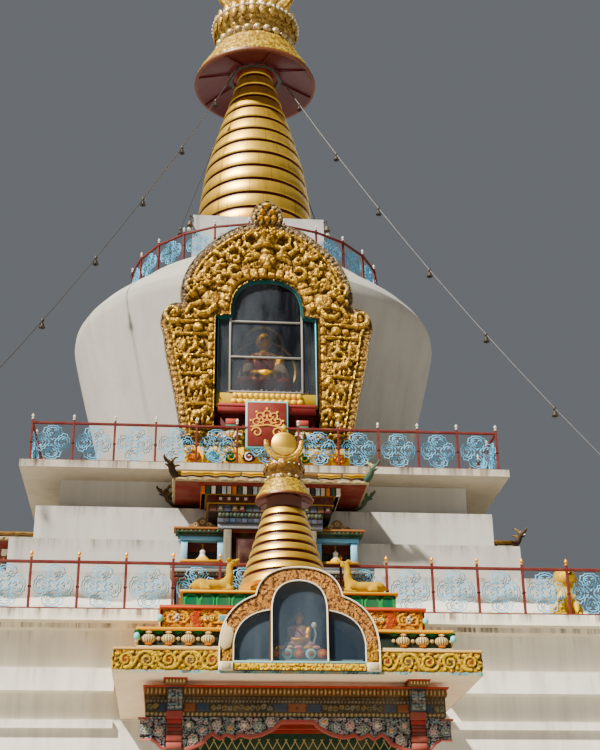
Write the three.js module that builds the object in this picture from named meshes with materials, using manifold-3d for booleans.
// A large white stupa: a hollow ground storey with four porches, two square terraces,
// a flaring vase with a gilded niche in front, and a thirteen-ring golden spire under a canopy.
// Millimetres, +Z up, +X to the right of the front, the front faces -Y.
// The origin is the centre of the footprint at ground level.

import * as THREE from 'three';
import { mergeVertices } from 'three/addons/utils/BufferGeometryUtils.js';
import Module from 'manifold-3d';

const wasm = await Module();
wasm.setup();

// Clearance between pieces that lie side by side
const GAP = 0.3;

// Base platform
const PLATFORM_HALF = 10000;
const PLATFORM_TOP = 900;
const KERB_HALF = 10400;
const KERB_TOP = 450;
const LANDING_HALF = 3300;
const LANDING_FRONT = 13400;
const STEP_COUNT = 5;
const STEP_GOING = 320;
const STEP_HALF = 2400;

// Ground storey walls
const GROUND_HALF = 9000;
const GROUND_WALL = 700;
const GROUND_TOP = 8050;
const GROUND_DOOR_HALF = 1100;
const GROUND_DOOR_TOP = 4100;
const BAND_START = 3250;
const STRING_COURSE = { out: 100, low: 6150, high: 6300 };
const CORNICE = { out: 300, low: 6820, high: 7250 };

// Lower terrace
const LOWER_HALF = 9500;
const LOWER_MOULD_HALF = 9250;
const LOWER_MOULD_TOP = 8150;
const LOWER_TOP = 8370;

// Porch under the lower terrace, one on each side
const PORCH = {
  back: GROUND_HALF + GAP,
  columnX: 2070,
  columnY: 12380,
  columnWidth: 280,
  baseWidth: 400,
  baseHeight: 350,
  capitalWidth: 420,
  capitalLow: 5520,
  beamLow: 5700,
  beamHalf: 2450,
  beamDepth: 300,
  corniceLow: 6200,
  corniceHalf: 2690,
  corniceFront: 12780,
  soffit: 6300,
  roofHalf: 3110,
  roofFront: 13150,
};
const PORCH_TIERS = [
  { half: 3110, front: 13150, high: 6770 },
  { half: 2750, front: 12580, high: 7240 },
  { half: 2370, front: 12100, high: 7760 },
];
const LOTUS = { half: 2020, front: 11400, back: LOWER_HALF + GAP, high: 8270 };
const BRACKET = { depth: 90, steps: [[280, 5610], [450, 5530], [900, 5440], [1500, 5440], [1930, 5250]] };

// Glazed trefoil niche on the porch roof
const TREFOIL = { front: 13210, back: 11460, low: 6380, wall: 130, pane: 40, paneInset: 150 };

// Small spire on the porch roof
const SMALL_SPIRE = { y: 10200, baseHalf: 640, baseTop: 8480, ringLow: 8620, ringTop: 10240, rings: 8,
  lowRadius: 880, topRadius: 400, ledge: 85, scale: 0.296 };

// Railings
const POST = 50;
const BAR = 60;
const RAIL_HEIGHT = 1050;
const LOWER_RAIL = { half: 9250, start: 286, pitch: 945 };
const UPPER_RAIL = { half: 5640, start: 743, pitch: 979.4, bays: 5 };
const RING_RAIL = { radius: 3740, height: 900, posts: 24, turn: 9.3 };

// Stepped upper storey, as half widths and tops of its steps
const UPPER_STEPS = [[7050, 9100], [6510, 10000], [5930, 10950], [5440, 11900], [4950, 12730]];
const UPPER_ROOM_HALF = 4300;

// Upper doorway, one on each side, with a shrine and a lower cabinet on each hand
const DOORWAY = {
  back: 5440 + GAP,
  front: 6450,
  half: 1070,
  top: 12040,
  doorHalf: 880,
  doorTop: 11080,
  leaf: 90,
  reveal: 120,
};
const SHRINE = { back: 5930 + GAP, front: 6200, half: 2010, high: 11150, corniceLow: 10880, corniceHalf: 2200,
  corniceFront: 6350 };
const CABINET = { front: 7050, half: 2150, high: 10000, corniceLow: 9780, corniceHalf: 2260, corniceFront: 7150,
  aisle: 980 };
const DOORWAY_ROWS = [{ half: 1200, front: 6500, low: 11330 }, { half: 1450, front: 6560, low: 11640 },
  { half: 1620, front: 6640, low: 11850 }];
const CANOPY = { half: 2260, front: 6900, back: 4950 + GAP, edge: 130, ridge: 400, inset: 420 };

// Upper terrace
const UPPER_HALF = 5850;
const UPPER_SOFFIT = 12730;
const UPPER_TOP = 12905;

// Vase, as radius and height along its outer face
const VASE_FACE = [[3820, 12905], [4130, 14000], [4400, 15000], [4660, 16000], [4920, 17000], [5120, 17800],
  [5250, 18350], [5240, 18600], [5130, 18800], [4910, 19050], [4630, 19300], [4380, 19500], [4220, 19600],
  [3800, 20020]];
const VASE_WALL = 380;
const VASE_TOP = 20020;
const VASE_CEILING = 19650;

// Carved niche on the front of the vase
const NICHE = {
  front: 5540,
  back: 5300,
  boxHalf: 1500,
  boxBack: 3500,
  boxTop: 18400,
  sill: 14700,
  openHalf: 1300,
  springHalf: 910,
  shoulder: 17100,
  spring: 17250,
  crown: 18120,
  paneInset: 130,
  pane: 40,
};

// Harmika, spire, umbrella and crown
const HARMIKA_HALF = 1930;
const HARMIKA_TOP = 22240;
const SPIRE = { rings: 13, low: HARMIKA_TOP, high: 29120, groove: 95 };
const SPIRE_FACE = [[1800, 22240], [1750, 23450], [1560, 24900], [1330, 25850], [1060, 26850], [790, 27800],
  [600, 28500], [430, 29120]];
const UMBRELLA = { rim: 1960, rimLow: 28410, rimHigh: 28560, hubOut: 900, hubIn: 700, hub: 28840,
  well: 440, wellTop: SPIRE.high, top: 1260, high: 29850 };
const CROWN_LOW = 29850;

// Stay cables from the hub under the umbrella to the corner posts of the lower railing
const STAY = { radius: 15, topReach: 820, footReach: LOWER_RAIL.half * Math.SQRT2, sag: 900, steps: 12,
  collarIn: 745, collarOut: 865, collarDeep: 140, anchorHalf: 60, anchorHigh: 80 };

const SIDES = ['front', 'right', 'back', 'left'];
const CORNERS = ['front_left', 'front_right', 'back_right', 'back_left'];

const PAINT = {
  plaster: { color: 0xe9e4da, roughness: 0.9, metalness: 0 },
  stone: { color: 0xb9b2a6, roughness: 0.9, metalness: 0 },
  redWood: { color: 0x7a2722, roughness: 0.6, metalness: 0 },
  paintedRoof: { color: 0xd0982f, roughness: 0.55, metalness: 0.1 },
  maroon: { color: 0x7b2b2f, roughness: 0.5, metalness: 0.2 },
  gold: { color: 0xd9a336, roughness: 0.35, metalness: 0.85 },
  cable: { color: 0x55524c, roughness: 0.5, metalness: 0.8 },
};

const stupa = new THREE.Group();
stupa.name = 'stupa';

// Turns a closed geometry into a solid, whichever way its triangles run
function toSolid(geometry) {
  const bare = geometry.clone();
  bare.deleteAttribute('normal');
  bare.deleteAttribute('uv');
  const merged = mergeVertices(bare, 0.01);
  const points = merged.attributes.position.array;
  const index = merged.index.array;
  const triangles = [];
  let volume = 0;
  const corner = [new THREE.Vector3(), new THREE.Vector3(), new THREE.Vector3()];
  for (let i = 0; i < index.length; i += 3) {
    const three = [index[i], index[i + 1], index[i + 2]];
    if (three[0] === three[1] || three[1] === three[2] || three[2] === three[0]) continue;
    three.forEach((v, k) => corner[k].fromArray(points, v * 3));
    volume += corner[0].dot(corner[1].clone().cross(corner[2]));
    triangles.push(...three);
  }
  if (volume < 0) {
    for (let i = 0; i < triangles.length; i += 3) {
      [triangles[i], triangles[i + 1]] = [triangles[i + 1], triangles[i]];
    }
  }
  return new wasm.Manifold(new wasm.Mesh({
    numProp: 3,
    vertProperties: Float32Array.from(points),
    triVerts: Uint32Array.from(triangles),
  }));
}

function toGeometry(solid) {
  const mesh = solid.getMesh();
  const geometry = new THREE.BufferGeometry();
  geometry.setAttribute('position', new THREE.BufferAttribute(Float32Array.from(mesh.vertProperties), 3));
  geometry.setIndex([...mesh.triVerts]);
  return geometry;
}

// Box between two corners
function block(x0, x1, y0, y1, z0, z1) {
  const box = new THREE.BoxGeometry(x1 - x0, y1 - y0, z1 - z0);
  box.translate((x0 + x1) / 2, (y0 + y1) / 2, (z0 + z1) / 2);
  return toSolid(box);
}

// Box centred on the front axis, reaching from its front face back to a depth
function frontBlock(half, front, back, low, high) {
  return block(-half, half, -front, -back, low, high);
}

// Solid turned about the Z axis from radius and height pairs
function turned(profile, segments) {
  const outline = profile.map(([r, z]) => new THREE.Vector2(r, z));
  const lathe = new THREE.LatheGeometry(outline, segments, segments === 4 ? Math.PI / 4 : 0);
  lathe.rotateX(Math.PI / 2);
  return toSolid(lathe);
}

// Solid with a square plan, from half width and height pairs
function squareTurned(profile) {
  return turned(profile.map(([half, z]) => [half * Math.SQRT2, z]), 4);
}

// Plan shape raised from one height to another
function raised(outline, low, high) {
  const prism = new THREE.ExtrudeGeometry(outline, { depth: high - low, bevelEnabled: false });
  prism.translate(0, 0, low);
  return toSolid(prism);
}

// Front elevation shape, drawn in X and Z, given depth from its front face
function elevation(outline, front, back) {
  const plate = new THREE.ExtrudeGeometry(outline, { depth: front - back, bevelEnabled: false, curveSegments: 5 });
  plate.rotateX(Math.PI / 2);
  plate.translate(0, -back, 0);
  return toSolid(plate);
}

function shapeOf(points) {
  return new THREE.Shape(points.map(([x, y]) => new THREE.Vector2(x, y)));
}

function join(solids) {
  return solids.reduce((sum, solid) => sum.add(solid));
}

function addPiece(name, solid, paint, turn = 0) {
  const mesh = new THREE.Mesh(toGeometry(solid), new THREE.MeshStandardMaterial(paint));
  mesh.name = name;
  mesh.rotation.z = turn;
  stupa.add(mesh);
}

function addToSides(stem, solid, paint) {
  SIDES.forEach((side, i) => addPiece(`${stem}_${side}`, solid, paint, i * Math.PI / 2));
}

function addToCorners(stem, solid, paint) {
  CORNERS.forEach((corner, i) => addPiece(`${stem}_${corner}`, solid, paint, i * Math.PI / 2));
}

// L in plan at the front left corner, between two half widths, starting off the axes
function cornerPlan(outer, inner, start) {
  return shapeOf([[-outer, -outer], [-start, -outer], [-start, -inner], [-inner, -inner],
    [-inner, -start], [-outer, -start]]);
}

// Platform with a landing and a flight of steps before each porch
function basePlatform() {
  const parts = [
    squareTurned([[0, 0], [KERB_HALF, 0], [KERB_HALF, KERB_TOP], [PLATFORM_HALF, KERB_TOP],
      [PLATFORM_HALF, PLATFORM_TOP], [0, PLATFORM_TOP]]),
  ];
  const rise = PLATFORM_TOP / (STEP_COUNT + 1);
  for (let side = 0; side < 4; side += 1) {
    const arm = [frontBlock(LANDING_HALF, LANDING_FRONT, 0, 0, PLATFORM_TOP)];
    for (let i = 1; i <= STEP_COUNT; i += 1) {
      const reach = LANDING_FRONT + i * STEP_GOING;
      arm.push(frontBlock(STEP_HALF, reach, 0, 0, PLATFORM_TOP - i * rise));
    }
    parts.push(join(arm).rotate([0, 0, side * 90]));
  }
  return join(parts);
}

function groundCorner() {
  const inner = GROUND_HALF - GROUND_WALL;
  const wall = raised(cornerPlan(GROUND_HALF, inner, GROUND_DOOR_HALF), PLATFORM_TOP, GROUND_TOP);
  const bands = [STRING_COURSE, CORNICE].map((band) => raised(
    cornerPlan(GROUND_HALF + band.out, GROUND_HALF - 50, BAND_START), band.low, band.high));
  return join([wall, ...bands]);
}

function overDoorWall() {
  return frontBlock(GROUND_DOOR_HALF - GAP, GROUND_HALF, GROUND_HALF - GROUND_WALL, GROUND_DOOR_TOP, GROUND_TOP);
}

function lowerTerrace() {
  return squareTurned([[0, GROUND_TOP], [LOWER_MOULD_HALF, GROUND_TOP], [LOWER_MOULD_HALF, LOWER_MOULD_TOP],
    [LOWER_HALF, LOWER_MOULD_TOP], [LOWER_HALF, LOWER_TOP], [0, LOWER_TOP]]);
}

// Outline of the trefoil niche, drawn in X and Z and shrunk by an inset
function trefoilOutline(inset) {
  const foot = 1360 - inset;
  const low = TREFOIL.low;
  const cuspX = 750 - inset * 0.85;
  const cuspZ = 7670 - inset * 0.35;
  const crownZ = 8180 - inset;
  const shape = new THREE.Shape();
  shape.moveTo(-foot, low);
  shape.lineTo(foot, low);
  shape.lineTo(foot, low + 420);
  shape.quadraticCurveTo(foot - 30, 7480 - inset, cuspX, cuspZ);
  shape.quadraticCurveTo(cuspX - 90, crownZ, 0, crownZ);
  shape.quadraticCurveTo(-cuspX + 90, crownZ, -cuspX, cuspZ);
  shape.quadraticCurveTo(-foot + 30, 7480 - inset, -foot, low + 420);
  return shape;
}

function porchNiche() {
  const { front, back, wall, pane, paneInset, low } = TREFOIL;
  const shell = elevation(trefoilOutline(0), front, back);
  const room = elevation(trefoilOutline(wall), front - paneInset - pane, back + wall);
  const recess = elevation(trefoilOutline(wall), front + 1, front - paneInset);
  const floorHole = frontBlock(900, front - 600, back + 400, low - 1, low + 200);
  return shell.subtract(room).subtract(recess).subtract(floorHole);
}

// Lobed bracket board between the porch columns, drawn in X and Z
function bracketBoard(front) {
  const edge = BRACKET.steps.map(([x, z]) => [x, z]);
  const mirrored = edge.map(([x, z]) => [-x, z]).reverse();
  const high = PORCH.beamLow + 10;
  return elevation(shapeOf([[-1930, high], ...mirrored, ...edge, [1930, high]]), front, front - BRACKET.depth);
}

function porchColumn(x) {
  const y = -PORCH.columnY;
  const pieces = [[PORCH.columnWidth, PLATFORM_TOP, PORCH.beamLow + 50],
    [PORCH.baseWidth, PLATFORM_TOP, PLATFORM_TOP + PORCH.baseHeight],
    [PORCH.capitalWidth, PORCH.capitalLow, PORCH.beamLow + 50]];
  return join(pieces.map(([width, low, high]) =>
    block(x - width / 2, x + width / 2, y - width / 2, y + width / 2, low, high)));
}

function porch() {
  const p = PORCH;
  const beamFront = p.columnY + p.beamDepth / 2;
  const sideBeam = (sign) => block(Math.min(sign * 1920, sign * 2220), Math.max(sign * 1920, sign * 2220),
    -p.columnY, -p.back, p.beamLow, p.corniceLow + 10);
  const parts = [
    porchColumn(-p.columnX),
    porchColumn(p.columnX),
    frontBlock(p.beamHalf, beamFront, p.columnY - p.beamDepth / 2, p.beamLow, p.corniceLow + 10),
    sideBeam(-1),
    sideBeam(1),
    bracketBoard(p.columnY + BRACKET.depth / 2),
    frontBlock(p.corniceHalf, p.corniceFront, p.back, p.corniceLow, p.soffit + 5),
    frontBlock(p.roofHalf, p.roofFront, p.back, p.soffit, p.soffit + 90),
  ];
  let low = p.soffit + 80;
  PORCH_TIERS.forEach((tier) => {
    parts.push(frontBlock(tier.half, tier.front, p.back, low, tier.high));
    low = tier.high - 5;
  });
  parts.push(frontBlock(LOTUS.half, LOTUS.front, LOTUS.back, low, LOTUS.high));
  const nicheRoom = elevation(trefoilOutline(-GAP), TREFOIL.front + 100, TREFOIL.back - GAP);
  return join(parts).subtract(nicheRoom);
}

// Crescent, upright sun disc and small ball above a crown, for a canopy of unit size, set at a height
function finialParts(scale, low, segments) {
  const size = (v) => v * scale;
  const moon = new THREE.Shape();
  moon.absarc(0, size(2780), size(1330), Math.PI, 2 * Math.PI, false);
  moon.absarc(0, size(3000), size(1150), 2 * Math.PI - 0.18, Math.PI + 0.18, true);
  const moonSolid = elevation(moon, size(130), size(-130)).translate([0, 0, low]);
  const disc = new THREE.Shape();
  disc.absarc(0, size(2710), size(880), 0, 2 * Math.PI, false);
  const sun = elevation(disc, size(190), size(-190)).translate([0, 0, low]);
  const ball = turned([[0, 3450], [110, 3450], [110, 3620], [240, 3730], [270, 3860], [240, 3990], [110, 4100],
    [0, 4250]].map(([r, z]) => [size(r), size(z)]), segments).translate([0, 0, low]);
  return [moonSolid, sun, ball];
}

// Flared crown with its neck
function crownParts(scale, low, segments) {
  const crown = turned([[0, 0], [1120, 0], [1130, 260], [1450, 880], [1250, 880], [420, 700], [260, 1560],
    [0, 1560]].map(([r, z]) => [r * scale, z * scale]), segments);
  return [crown.translate([0, 0, low])];
}

// Ringed cone: upright bands, each parted from the next by a V groove
function ringedCone(radiusAt, low, high, rings, groove, segments) {
  const pitch = (high - low) / rings;
  const profile = [[0, low]];
  for (let i = 0; i < rings; i += 1) {
    const foot = low + i * pitch;
    profile.push([radiusAt(foot), foot], [radiusAt(foot + pitch * 0.82), foot + pitch * 0.82]);
    if (i < rings - 1) profile.push([radiusAt(foot + pitch * 0.9) - groove, foot + pitch * 0.9]);
  }
  profile.push([radiusAt(high), high], [0, high]);
  return turned(profile, segments);
}

// Radius along a face given as radius and height pairs
function radiusOn(face, z) {
  const next = face.findIndex(([, height]) => height >= z);
  if (next <= 0) return face[0][0];
  const [r0, z0] = face[next - 1];
  const [r1, z1] = face[next];
  return r0 + (r1 - r0) * (z - z0) / (z1 - z0);
}

function porchSpire() {
  const s = SMALL_SPIRE;
  const base = block(-s.baseHalf, s.baseHalf, -s.baseHalf, s.baseHalf, LOTUS.high, s.baseTop);
  const foot = turned([[0, s.baseTop - 5], [s.lowRadius - 60, s.baseTop - 5], [s.lowRadius + 20, s.ringLow + 5],
    [0, s.ringLow + 5]], 12);
  const ledges = [[0, s.ringLow]];
  for (let i = 0; i < s.rings; i += 1) {
    const radius = THREE.MathUtils.lerp(s.lowRadius, s.topRadius, i / s.rings);
    const ringFoot = THREE.MathUtils.lerp(s.ringLow, s.ringTop, i / s.rings);
    const ringHead = THREE.MathUtils.lerp(s.ringLow, s.ringTop, (i + 1) / s.rings);
    ledges.push([radius, ringFoot], [radius - s.ledge, ringHead]);
  }
  const cone = turned([...ledges, [0, s.ringTop]], 12);
  const canopyLow = s.ringTop;
  const canopy = turned([[0, canopyLow - 5], [s.topRadius - 60, canopyLow - 5], [580, canopyLow + 170],
    [580, canopyLow + 215], [380, canopyLow + 620], [0, canopyLow + 620]], 12);
  const parts = [base, foot, cone, canopy, ...crownParts(s.scale, canopyLow + 600, 12),
    ...finialParts(s.scale, canopyLow + 620, 8)];
  return join(parts).translate([0, -s.y, 0]);
}

// Posts that stand at points in plan, up into the bar that they carry
function railPosts(points, low, height) {
  return points.map(([x, y]) => block(x - POST / 2, x + POST / 2, y - POST / 2, y + POST / 2,
    low, low + height - BAR / 2));
}

// Straight run of railing along the front edge, from one end of its bar to the other
function railRun(places, left, right, half, low) {
  const bar = block(left, right, -half - BAR / 2, -half + BAR / 2, low + RAIL_HEIGHT - BAR, low + RAIL_HEIGHT);
  return join([bar, ...railPosts(places.map((x) => [x, -half]), low, RAIL_HEIGHT)]);
}

// The two runs of the lower railing on one side, the first with the corner post, which meet at the middle
function lowerRails() {
  const { half, start, pitch } = LOWER_RAIL;
  const places = [];
  for (let x = start; x < half - POST; x += pitch) places.push(x);
  const leftRun = railRun([-half, ...places.map((x) => -x)], -half - BAR / 2, -GAP / 2, half, LOWER_TOP);
  const rightRun = railRun(places, GAP / 2, half - BAR / 2 - GAP, half, LOWER_TOP);
  return [leftRun, rightRun];
}

function upperRail() {
  const { half, start, pitch, bays } = UPPER_RAIL;
  const places = [-half];
  for (let i = 0; i < bays; i += 1) places.push(-start - i * pitch, start + i * pitch);
  return railRun(places, -half - BAR / 2, half - BAR / 2 - GAP, half, UPPER_TOP);
}

function ringRail() {
  const { radius, height, posts, turn } = RING_RAIL;
  const high = VASE_TOP + height;
  const section = [[radius - BAR / 2, high - BAR], [radius + BAR / 2, high - BAR], [radius + BAR / 2, high],
    [radius - BAR / 2, high], [radius - BAR / 2, high - BAR]];
  const post = railPosts([[0, -radius + BAR / 4]], VASE_TOP, height)[0];
  const ring = Array.from({ length: posts }, (_, i) => post.rotate([0, 0, i * 360 / posts]));
  return join([turned(section, posts), ...ring]).rotate([0, 0, turn]);
}

// Stepped walls around one room, with a passage to a doorway on each side
function upperStorey() {
  const profile = [[UPPER_ROOM_HALF, LOWER_TOP]];
  let low = LOWER_TOP;
  UPPER_STEPS.forEach(([half, high]) => {
    profile.push([half, low], [half, high]);
    low = high;
  });
  profile.push([UPPER_ROOM_HALF, low], [UPPER_ROOM_HALF, LOWER_TOP]);
  const d = DOORWAY;
  const far = CABINET.front + 50;
  const floor = LOWER_TOP - 50;
  const notch = join([
    frontBlock(CABINET.half + GAP, far, SHRINE.back - GAP, floor, CABINET.high + GAP),
    frontBlock(d.half + GAP, far, d.back - GAP, floor, UPPER_STEPS[2][1] + 50),
    frontBlock(d.doorHalf, far, UPPER_ROOM_HALF - 50, floor, d.doorTop),
  ]);
  let walls = squareTurned(profile);
  for (let side = 0; side < 4; side += 1) walls = walls.subtract(notch.rotate([0, 0, side * 90]));
  return walls;
}

// Projecting doorway with a closed double door, stepped carved rows over it and shrines on both hands
function upperDoorway() {
  const d = DOORWAY;
  const s = SHRINE;
  const c = CABINET;
  const body = join([
    frontBlock(d.half, d.front, d.back, LOWER_TOP, d.top),
    frontBlock(s.half, s.front, s.back, c.high - 10, s.high),
    frontBlock(s.corniceHalf, s.corniceFront, s.back, s.corniceLow, s.high),
    frontBlock(c.half, c.front, s.back, LOWER_TOP, c.high),
    frontBlock(c.corniceHalf, c.corniceFront, UPPER_STEPS[1][0] + GAP, c.corniceLow, c.high),
    ...DOORWAY_ROWS.map((row) => frontBlock(row.half, row.front, d.back, row.low, d.top)),
  ]);
  const aisle = frontBlock(c.aisle, c.corniceFront + 10, d.front, LOWER_TOP - 50, s.high + 50);
  const leafFront = d.front - d.reveal;
  const passage = frontBlock(d.doorHalf, leafFront - d.leaf, d.back - 50, LOWER_TOP - 50, d.doorTop);
  const reveal = frontBlock(d.doorHalf, d.front + 10, leafFront, LOWER_TOP + 60, d.doorTop);
  return body.subtract(aisle).subtract(passage).subtract(reveal);
}

// Low hipped canopy over the upper doorway
function upperCanopy() {
  const { half, front, back, edge, ridge, inset } = CANOPY;
  const low = DOORWAY.top;
  const slab = frontBlock(half, front, back, low, low + edge);
  const slope = new THREE.Shape();
  slope.moveTo(-half, low + edge - 5);
  slope.lineTo(half, low + edge - 5);
  slope.lineTo(half - inset, low + ridge);
  slope.lineTo(-half + inset, low + ridge);
  const wide = elevation(slope, front, back);
  const side = shapeOf([[-front, low], [-back, low], [-back, low + ridge + 10], [-front + inset, low + ridge + 10],
    [-front, low + edge]]);
  const sideCut = new THREE.ExtrudeGeometry(side, { depth: 2 * half, bevelEnabled: false });
  sideCut.rotateX(Math.PI / 2);
  sideCut.rotateZ(Math.PI / 2);
  sideCut.translate(-half, 0, 0);
  return slab.add(wide.intersect(toSolid(sideCut)));
}

function upperTerrace() {
  return squareTurned([[0, UPPER_SOFFIT], [UPPER_HALF, UPPER_SOFFIT], [UPPER_HALF, UPPER_TOP], [0, UPPER_TOP]]);
}

function vase() {
  const inner = VASE_FACE.filter(([, z], i) => z < VASE_CEILING - 600 && i % 2 === 0)
    .map(([r, z]) => [r - VASE_WALL, z]).reverse();
  const profile = [[0, VASE_CEILING], [2600, VASE_CEILING], ...inner, ...VASE_FACE, [0, VASE_TOP]];
  const n = NICHE;
  const cut = frontBlock(n.boxHalf + GAP, n.back + 100, n.boxBack - 600, UPPER_TOP - 50, n.boxTop + GAP);
  return turned(profile, 36).subtract(cut);
}

// Outer edge of the carved niche frame, drawn in X and Z
function nicheFrameOutline() {
  const shape = new THREE.Shape();
  const low = UPPER_TOP;
  shape.moveTo(-1750, low);
  shape.lineTo(1750, low);
  shape.lineTo(1750, 13550);
  shape.lineTo(2080, 13700);
  shape.lineTo(2300, 14900);
  shape.lineTo(2520, 15900);
  shape.lineTo(2600, 16500);
  shape.quadraticCurveTo(2780, 16900, 2560, 17250);
  shape.quadraticCurveTo(2400, 17420, 2180, 17380);
  shape.quadraticCurveTo(2320, 18300, 1560, 19080);
  shape.quadraticCurveTo(980, 19700, 380, 19820);
  shape.quadraticCurveTo(520, 20350, 0, 20560);
  shape.quadraticCurveTo(-520, 20350, -380, 19820);
  shape.quadraticCurveTo(-980, 19700, -1560, 19080);
  shape.quadraticCurveTo(-2320, 18300, -2180, 17380);
  shape.quadraticCurveTo(-2400, 17420, -2560, 17250);
  shape.quadraticCurveTo(-2780, 16900, -2600, 16500);
  shape.lineTo(-2520, 15900);
  shape.lineTo(-2300, 14900);
  shape.lineTo(-2080, 13700);
  shape.lineTo(-1750, 13550);
  return shape;
}

// Window of the niche: straight jambs, square shoulders and a round head
function nicheWindow() {
  const n = NICHE;
  const shape = new THREE.Shape();
  shape.moveTo(-n.openHalf, n.sill);
  shape.lineTo(n.openHalf, n.sill);
  shape.lineTo(n.openHalf, n.shoulder);
  shape.lineTo(n.springHalf, n.shoulder);
  shape.lineTo(n.springHalf, n.spring);
  shape.bezierCurveTo(n.springHalf, n.crown - 200, 500, n.crown, 0, n.crown);
  shape.bezierCurveTo(-500, n.crown, -n.springHalf, n.crown - 200, -n.springHalf, n.spring);
  shape.lineTo(-n.springHalf, n.shoulder);
  shape.lineTo(-n.openHalf, n.shoulder);
  return shape;
}

function vaseNiche() {
  const n = NICHE;
  const body = join([
    elevation(nicheFrameOutline(), n.front, n.back),
    frontBlock(n.boxHalf, n.back + 10, n.boxBack, UPPER_TOP, n.boxTop),
  ]);
  const recess = elevation(nicheWindow(), n.front + 10, n.front - n.paneInset);
  const room = elevation(nicheWindow(), n.front - n.paneInset - n.pane, n.boxBack - 10);
  return body.subtract(recess).subtract(room);
}

function harmika() {
  return frontBlock(HARMIKA_HALF, HARMIKA_HALF, -HARMIKA_HALF, VASE_TOP, HARMIKA_TOP);
}

function spire() {
  return ringedCone((z) => radiusOn(SPIRE_FACE, z), SPIRE.low, SPIRE.high, SPIRE.rings, SPIRE.groove, 20);
}

function umbrella() {
  const u = UMBRELLA;
  return turned([[0, u.wellTop], [u.well, u.wellTop], [u.hubIn, u.hub], [u.hubOut, u.hub], [u.rim - 60, u.rimLow],
    [u.rim, u.rimLow], [u.rim, u.rimHigh], [u.top, u.high], [0, u.high]], 24);
}

function crown() {
  return join([...crownParts(1, CROWN_LOW, 20), ...finialParts(1, CROWN_LOW, 12)]);
}

// Four hanging cables fixed to one collar under the umbrella
function stayCables() {
  const s = STAY;
  const railTop = LOWER_TOP + RAIL_HEIGHT;
  const low = railTop + s.anchorHigh / 2;
  const high = UMBRELLA.hub - s.collarDeep / 2;
  const points = Array.from({ length: s.steps + 1 }, (_, i) => {
    const t = i / s.steps;
    const reach = s.topReach + (s.footReach - s.topReach) * t;
    const height = high + (low - high) * t - 4 * s.sag * t * (1 - t);
    return new THREE.Vector3(reach, 0, height);
  });
  const section = new THREE.Shape();
  section.absarc(0, 0, s.radius, 0, 2 * Math.PI);
  const cable = toSolid(new THREE.ExtrudeGeometry(section, {
    steps: s.steps, bevelEnabled: false, curveSegments: 3, extrudePath: new THREE.CatmullRomCurve3(points) }));
  const collar = turned([[s.collarIn, UMBRELLA.hub - s.collarDeep], [s.collarOut, UMBRELLA.hub - s.collarDeep],
    [s.collarOut, UMBRELLA.hub], [s.collarIn, UMBRELLA.hub], [s.collarIn, UMBRELLA.hub - s.collarDeep]], 16);
  const anchor = block(s.footReach - s.anchorHalf, s.footReach + s.anchorHalf, -s.anchorHalf, s.anchorHalf,
    railTop, railTop + s.anchorHigh);
  const stay = cable.add(anchor);
  return join([collar, ...[45, 135, 225, 315].map((angle) => stay.rotate([0, 0, angle]))]);
}

addPiece('base_platform', basePlatform(), PAINT.stone);
addToCorners('ground_corner_wall', groundCorner(), PAINT.plaster);
addToSides('over_door_wall', overDoorWall(), PAINT.plaster);
addToSides('porch', porch(), PAINT.paintedRoof);
addToSides('porch_niche', porchNiche(), PAINT.redWood);
addToSides('porch_spire', porchSpire(), PAINT.gold);
addPiece('lower_terrace', lowerTerrace(), PAINT.plaster);
lowerRails().forEach((run, i) => addToSides(['lower_rail_lefthand', 'lower_rail_righthand'][i], run, PAINT.maroon));
addPiece('upper_storey', upperStorey(), PAINT.plaster);
addToSides('upper_doorway', upperDoorway(), PAINT.redWood);
addToSides('upper_canopy', upperCanopy(), PAINT.gold);
addPiece('upper_terrace', upperTerrace(), PAINT.plaster);
addToSides('upper_rail', upperRail(), PAINT.maroon);
addPiece('vase', vase(), PAINT.plaster);
addPiece('vase_niche', vaseNiche(), PAINT.gold);
addPiece('ring_rail', ringRail(), PAINT.maroon);
addPiece('harmika', harmika(), PAINT.plaster);
addPiece('spire', spire(), PAINT.gold);
addPiece('umbrella', umbrella(), PAINT.gold);
addPiece('crown', crown(), PAINT.gold);
addPiece('stay_cables', stayCables(), PAINT.cable);

export default stupa;
